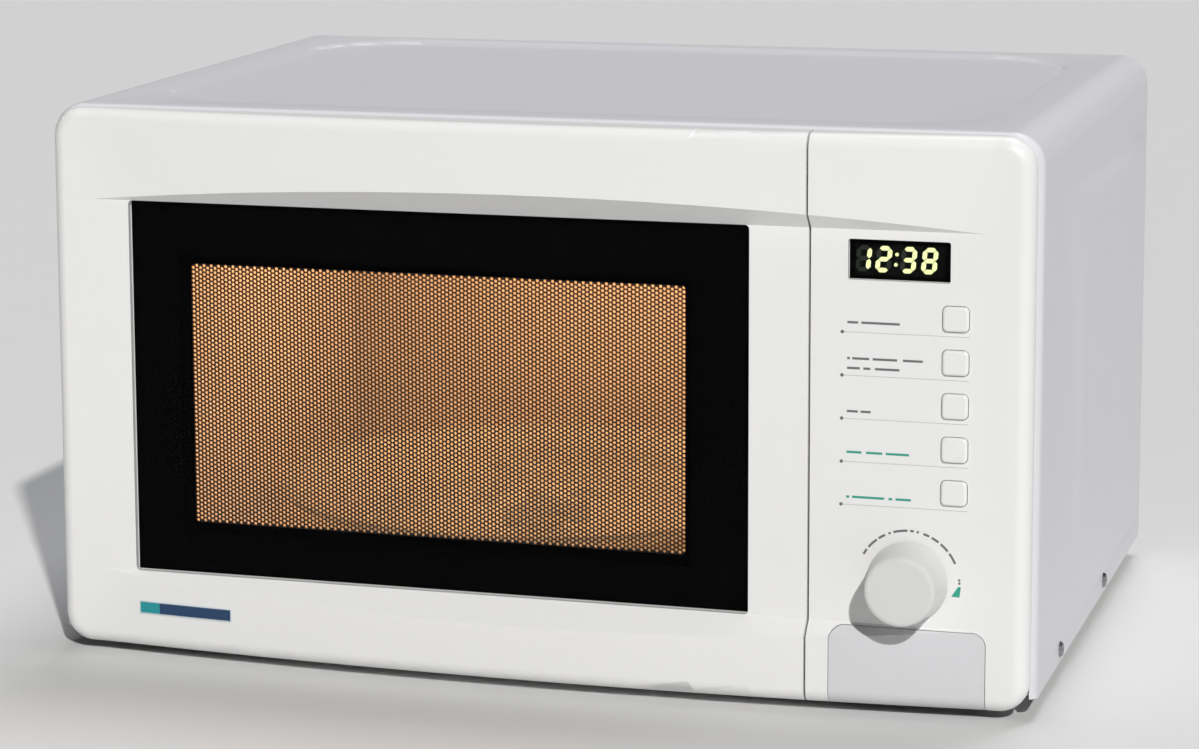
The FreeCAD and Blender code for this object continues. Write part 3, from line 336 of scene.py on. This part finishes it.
def smooth_node(node):
    """Even shading over the gentle curves of a CAD node whose faces run into each other."""
    mesh = NODES[node].data
    mesh.shade_smooth()
    places = [tuple(round(part / MM, 2) for part in vertex.co) for vertex in mesh.vertices]
    meeting = {}
    for face in mesh.polygons:
        for vertex in face.vertices:
            meeting.setdefault(places[vertex], []).append(face)
    normals = []
    for face in mesh.polygons:
        for vertex in face.vertices:
            normal = edge_normal(*(part / MM for part in mesh.vertices[vertex].co))
            if normal.dot(face.normal) < SAME_SIDE:
                normal = sum((other.normal * other.area for other in meeting[places[vertex]]
                              if other.normal.dot(face.normal) > SAME_CURVE), Vector())
            normals.append(normal.normalized() if normal.length else face.normal)
    mesh.normals_split_custom_set(normals)


def paint_faces(node, material, wanted):
    """Gives another finish to those faces of a CAD node whose centre (in millimetres) is wanted."""
    mesh = NODES[node].data
    mesh.materials.append(material)
    number = len(mesh.materials) - 1
    for face in mesh.polygons:
        if wanted(*(part / MM for part in face.center)):
            face.material_index = number


def paint_details():
    """The dark front of the door's steel frame and the parts on the two circuit boards."""
    paint_faces("door_choke_frame", PRINT_BLACK, lambda x, y, z: y < FRONT + 9.75)
    paint_faces("control_board", RELAY, lambda x, y, z: y > FRONT + 13.7 or y < FRONT + 11.9)
    board_top = extent("filter_board")[2][0] + 9.7
    paint_faces("filter_board", FILM_YELLOW, lambda x, y, z: z > board_top and x > 183)
    paint_faces("filter_board", FINISHES["winding_copper"], lambda x, y, z: z > board_top and 140 < x < 182)


# ---- flat figures and pieces ----
def figure(points, near, far):
    """A closed plate from a polygon of x, z points between two y values, as vertices and faces."""
    count = len(points)
    pairs = zip(points[-1:] + points[:-1], points)
    area = sum(before[0] * after[1] - after[0] * before[1] for before, after in pairs)
    if area < 0:
        points = points[::-1]
    vertices = [(x, near, z) for x, z in points] + [(x, far, z) for x, z in points]
    faces = [tuple(range(count)), tuple(reversed(range(count, 2 * count)))]
    faces += [(n, n + count, (n + 1) % count + count, (n + 1) % count) for n in range(count)]
    return vertices, faces


def bar(x, z, near, far):
    """A rectangular plate between the (low, high) pairs x and z."""
    return figure([(x[0], z[0]), (x[1], z[0]), (x[1], z[1]), (x[0], z[1])], near, far)


def around(centre, radius, degrees):
    """The x, z point at this radius and angle round a centre."""
    turn = math.radians(degrees)
    return centre[0] + radius * math.cos(turn), centre[1] + radius * math.sin(turn)


def border(outer_x, outer_z, inner_x, inner_z, near, far):
    """Four plates round an opening: below it, above it and on its two sides."""
    return [bar(outer_x, (outer_z[0], inner_z[0]), near, far),
            bar(outer_x, (inner_z[1], outer_z[1]), near, far),
            bar((outer_x[0], inner_x[0]), inner_z, near, far),
            bar((inner_x[1], outer_x[1]), inner_z, near, far)]


def sector(centre, radii, degrees, near, far):
    """A plate between two radii and two angles round a centre, counted from +X towards +Z."""
    steps = max(2, int(abs(degrees[1] - degrees[0]) / 3))
    turns = [degrees[0] + (degrees[1] - degrees[0]) * step / steps for step in range(steps + 1)]
    points = [around(centre, radii[1], turn) for turn in turns]
    points += [around(centre, radii[0], turn) for turn in reversed(turns)]
    return figure(points, near, far)


def disc(x, z, radius, near, far):
    """A round plate."""
    turns = [math.tau * step / 24 for step in range(24)]
    return figure([(x + radius * math.cos(turn), z + radius * math.sin(turn)) for turn in turns], near, far)


def piece(name, body, shapes):
    """One object from (vertices and faces, material) pairs in millimetres, which moves with a body."""
    vertices, faces, numbers, materials = [], [], [], []
    for (points, sides), material in shapes:
        if material not in materials:
            materials.append(material)
        start = len(vertices)
        vertices += [(x * MM, y * MM, z * MM) for x, y, z in points]
        faces += [tuple(start + corner for corner in side) for side in sides]
        numbers += [materials.index(material)] * len(sides)
    mesh = bpy.data.meshes.new(name)
    mesh.from_pydata(vertices, [], faces)
    for material in materials:
        mesh.materials.append(material)
    mesh.polygons.foreach_set("material_index", numbers)
    mesh.update()
    made = bpy.data.objects.new(name, mesh)
    SCENE.collection.objects.link(made)
    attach(made, body)
    return made


# ---- door ----
HOLE_RADIUS = 0.75
FIELD_EDGE = 6.0            # plain rim of the screen round its holes
COLUMNS, ROWS = 132, 59


def screen_half(columns, x, z, y, pitch):
    """Part of the perforated field: square cells with an eight-sided hole, every second column raised."""
    vertices, faces = [], []
    turns = [math.radians(45 * step) for step in range(8)]
    square = [(1, 0), (1, 1), (0, 1), (-1, 1), (-1, 0), (-1, -1), (0, -1), (1, -1)]
    for column in columns:
        middle_x = x[0] + pitch[0] * (column + 0.5)
        lift = pitch[1] / 2 * (column % 2)
        for row in range(ROWS):
            middle_z = z[0] + lift + pitch[1] * (row + 0.5)
            start = len(vertices)
            for depth in y:
                vertices += [(middle_x + sx * pitch[0] / 2, depth, middle_z + sz * pitch[1] / 2)
                             for sx, sz in square]
                vertices += [(middle_x + HOLE_RADIUS * math.cos(turn), depth,
                              middle_z + HOLE_RADIUS * math.sin(turn)) for turn in turns]
            for n in range(8):
                m = (n + 1) % 8
                faces.append((start + n, start + m, start + 8 + m, start + 8 + n))
                faces.append((start + 16 + m, start + 16 + n, start + 24 + n, start + 24 + m))
                faces.append((start + 8 + n, start + 8 + m, start + 24 + m, start + 24 + n))
        gap_z = (z[1] - pitch[1] / 2, z[1]) if lift == 0 else (z[0], z[0] + pitch[1] / 2)
        points, sides = bar((middle_x - pitch[0] / 2, middle_x + pitch[0] / 2), gap_z, *y)
        start = len(vertices)
        vertices += points
        faces += [tuple(start + corner for corner in side) for side in sides]
    return vertices, faces


def make_screen():
    """The perforated screen in two halves. Gives back the x and z ranges of its holes."""
    (left, right), y, (low, high) = extent("perforated_screen")
    x, z = (left + FIELD_EDGE, right - FIELD_EDGE), (low + FIELD_EDGE, high - FIELD_EDGE)
    pitch = ((x[1] - x[0]) / COLUMNS, (z[1] - z[0]) / (ROWS + 0.5))
    paint_black = FINISHES["screen_paint"]
    halves = []
    middle = COLUMNS // 2
    for name, columns in (("screen_left", range(middle)), ("screen_right", range(middle, COLUMNS))):
        shapes = [(screen_half(columns, x, z, y, pitch), paint_black)]
        if name == "screen_left":
            rim = border((left, right), (low, high), x, z, *y)
            shapes += [(shape, paint_black) for shape in rim]
        halves.append(piece(name, "door", shapes))
    for half in halves:
        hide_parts("perforated_screen")
    return x, z


def make_glass_print(x, z):
    """The black border printed on the back of the door glass, open over the perforated field."""
    (left, right), (_, back), (low, high) = GLASS
    y = (back + 0.01, back + 0.08)
    x, z = (x[0] - 4, x[1] + 4), (z[0] - 4, z[1] + 4)
    shapes = border((left + 0.3, right - 0.3), (low + 0.3, high - 0.3), x, z, *y)
    piece("glass_print", "door", [(shape, PRINT_BLACK) for shape in shapes])


SPRING_TURNS = 6.5
SPRING_WIRE = 0.35          # radius
SPRING_RADIUS = 2.4
SPRING_REACH = 16.3         # from the top of the hooks to the spring's upper end


def make_spring():
    """The latch's coil spring, built at one fixed length (on the oven it shortens as the hooks are lifted).
    """
    across, along, _ = extent("latch_spring")
    x, y = sum(across) / 2, sum(along) / 2
    hook_top = extent("latch_hooks")[2][1]
    low, high = hook_top + SPRING_WIRE + 0.25, hook_top + SPRING_REACH
    steps, sides = int(SPRING_TURNS * 28), 8
    vertices, faces = [], []
    for step in range(steps + 1):
        turn = math.tau * SPRING_TURNS * step / steps
        outward = Vector((math.cos(turn), math.sin(turn), 0))
        centre = Vector((x, y, low + (high - low) * step / steps)) + outward * SPRING_RADIUS
        for corner in range(sides):
            angle = math.tau * corner / sides
            spot = centre + (outward * math.cos(angle) + Vector((0, 0, 1)) * math.sin(angle)) * SPRING_WIRE
            vertices.append(tuple(spot))
    for step in range(steps):
        for corner in range(sides):
            a, b = step * sides + corner, step * sides + (corner + 1) % sides
            faces.append((a, a + sides, b + sides, b))
    faces += [tuple(range(sides)), tuple(reversed(range(steps * sides, (steps + 1) * sides)))]
    spring = piece("spring_coil", "door", [((vertices, faces), FINISHES["spring_steel"])])
    for face in spring.data.polygons:
        face.use_smooth = True
    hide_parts("latch_spring")
    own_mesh(spring)


# ---- control panel ----
SEGMENTS = {"a": ((-1, 1), (1, 1)), "b": ((1, 1), (1, 0)), "c": ((1, 0), (1, -1)), "d": ((-1, -1), (1, -1)),
            "e": ((-1, 0), (-1, -1)), "f": ((-1, 1), (-1, 0)), "g": ((-1, 0), (1, 0))}
LIT = {"1": "bc", "2": "abged", "3": "abgcd", "8": "abcdefg"}
DIGIT_HALF = (2.35, 4.7)
DIGIT_THICK = 0.95
DIGIT_LEAN = 0.10
DIGITS = (("1", -16.0), ("2", -7.3), ("3", 3.3), ("8", 12.3))
COLON = -1.9


def segment(ends, x, z, near, far):
    """One bar of a digit, pointed at both ends and leaning with it."""
    (x0, z0), (x1, z1) = [(end[0] * DIGIT_HALF[0], end[1] * DIGIT_HALF[1]) for end in ends]
    length = math.hypot(x1 - x0, z1 - z0)
    ax, az = (x1 - x0) / length, (z1 - z0) / length
    gap, thick = 0.18, DIGIT_THICK
    points = []
    for along, across in ((gap, 0), (gap + thick, thick), (length - gap - thick, thick), (length - gap, 0),
                          (length - gap - thick, -thick), (gap + thick, -thick)):
        px, pz = x0 + ax * along - az * across, z0 + az * along + ax * across
        points.append((x + px + pz * DIGIT_LEAN, z + pz))
    return figure(points, near, far)


def make_digits():
    """The clock's digits, with their unlit bars, and the colon."""
    x, z = sum(DISPLAY[0]) / 2, sum(DISPLAY[2]) / 2
    back = extent("display_module")[1][0]
    shapes = []
    for digit, place in DIGITS:
        for name, ends in SEGMENTS.items():
            lit = name in LIT[digit]
            y = (back - 0.3, back) if lit else (back - 0.1, back)
            shapes.append((segment(ends, x + place, z, *y), DIGIT_LIT if lit else DIGIT_DARK))
    for up in (-2.2, 2.2):
        shapes.append((disc(x + COLON + up * DIGIT_LEAN, z + up, 0.75, back - 0.3, back), DIGIT_LIT))
    piece("display_digits", "root", shapes)


def make_display_print():
    """The black border printed on the back of the display window."""
    x, (_, back), z = DISPLAY
    y = (back + 0.01, back + 0.08)
    x, z = (x[0] + 0.2, x[1] - 0.2), (z[0] + 0.2, z[1] - 0.2)
    inner_x, inner_z = (x[0] + 2.6, x[1] - 2.6), (z[0] + 1.8, z[1] - 1.8)
    shapes = border(x, z, inner_x, inner_z, *y)
    piece("display_print", "root", [(shape, PRINT_BLACK) for shape in shapes])


LABELS = (
    (PRINT_GREY, ((4.2, (0, 4.6, 6.0, 22.5)),)),
    (PRINT_GREY, ((7.4, (0, 1.2, 2.2, 9.5, 11, 21.5, 24, 32.5)), (3.2, (0, 5.5, 7, 10, 12, 22.5)))),
    (PRINT_GREY, ((3.2, (0, 4.8, 6, 10.3)),)),
    (PRINT_GREEN, ((4.2, (0, 6.5, 8.5, 15.5, 17, 27)),)),
    (PRINT_GREEN, ((3.4, (0, 1.4, 2.6, 16.5, 18.4, 20, 21.4, 28)),)),
)
BUTTONS = ("power_button", "defrost_button", "clock_button", "stop_button", "start_button")


def make_labels():
    """A thin line with a dot for each push button, and plain dashes above it."""
    y = (FRONT - 0.04, FRONT + 0.1)
    left = DISPLAY[0][0] - 2.4
    shapes = []
    for button, (colour, rows) in zip(BUTTONS, LABELS):
        x, _, z = extent(button)
        line = sum(z) / 2 - 7.5
        shapes.append((bar((left, x[1] - 1), (line - 0.14, line + 0.14), *y), PRINT_LINE))
        shapes.append((disc(left, line, 0.75, *y), PRINT_GREY))
        for up, ends in rows:
            for start, end in zip(ends[::2], ends[1::2]):
                across = (left + 2.2 + start, left + 2.2 + end)
                shapes.append((bar(across, (line + up - 0.5, line + up + 0.5), *y), colour))
    piece("panel_labels", "root", shapes)


SCALE_DASHES = ((151, 144), (141, 128), (125.5, 117), (107, 91), (88, 84), (73, 66), (63, 54), (51, 40),
                (37, 24))
SCALE_DOTS = (111.5, 79.5, 5, 1.5)
SCALE_RADII = (21.6, 22.6)


def make_scale():
    """The ring of plain marks round the knob, with a wedge at its lower right end."""
    centre = (sum(KNOB[0]) / 2, sum(KNOB[2]) / 2)
    y = (FRONT - 0.04, FRONT + 0.1)
    shapes = [(sector(centre, SCALE_RADII, dash, *y), PRINT_GREY) for dash in SCALE_DASHES]
    for degrees in SCALE_DOTS:
        spot = around(centre, sum(SCALE_RADII) / 2, degrees)
        shapes.append((disc(*spot, 0.55, *y), PRINT_GREY))
    corners = ((22.8, -2.5), (22.9, -14), (19.4, -16), (21.6, -2.5))
    wedge = [around(centre, radius, degrees) for radius, degrees in corners]
    shapes.append((figure(wedge, *y), PRINT_GREEN))
    piece("knob_scale", "root", shapes)


# ---- screws ----
CROSS_LONG = 1.9            # half length of a cross's arm
CROSS_WIDE = 0.35           # half its width
CROSS_DEEP = 0.03           # half its depth
SIDE_SCREWS = (-79.5, 49.5)
REAR_SCREWS = ((-212, 30.5), (-212, 140.5), (-212, 230.5), (212, 30.5), (212, 120.5), (0, 242.5))


def block(centre, half):
    """A closed block of these half sizes."""
    corners = [(centre[0] + sx * half[0], centre[1] + sy * half[1], centre[2] + sz * half[2])
               for sx in (-1, 1) for sy in (-1, 1) for sz in (-1, 1)]
    return corners, [(0, 1, 3, 2), (4, 6, 7, 5), (0, 4, 5, 1), (2, 3, 7, 6), (0, 2, 6, 4), (1, 5, 7, 3)]


def cross_places():
    """The middle of every screw head's outer face, and the half sizes of the two arms on it."""
    sides, (_, rear), _ = extent("cabinet_screws")
    height = extent("base_plate")[2][0] + 6.0
    side_arms = ((CROSS_DEEP, CROSS_LONG, CROSS_WIDE), (CROSS_DEEP, CROSS_WIDE, CROSS_LONG))
    rear_arms = ((CROSS_LONG, CROSS_DEEP, CROSS_WIDE), (CROSS_WIDE, CROSS_DEEP, CROSS_LONG))
    places = [((x, y, height), side_arms) for x in sides for y in SIDE_SCREWS]
    return places + [((x, rear, z), rear_arms) for x, z in REAR_SCREWS]


def make_painted_recess_shade():
    """A dark cross of painted shade on the head of every screw of the cabinet's sides and rear panel,
    standing for the shade in its cross recess.
    """
    shapes = [(block(centre, arm), RECESS_SHADE) for centre, arms in cross_places() for arm in arms]
    piece("screw_cross_shade", "root", shapes)


make_camera()
make_stage()
paint_nodes()
for name in ("door_moulding", "control_panel", "release_button", "outer_cabinet"):
    smooth_node(name)
paint_details()
field = make_screen()
make_glass_print(*field)
make_spring()
make_digits()
make_display_print()
make_labels()
make_scale()
make_painted_recess_shade()
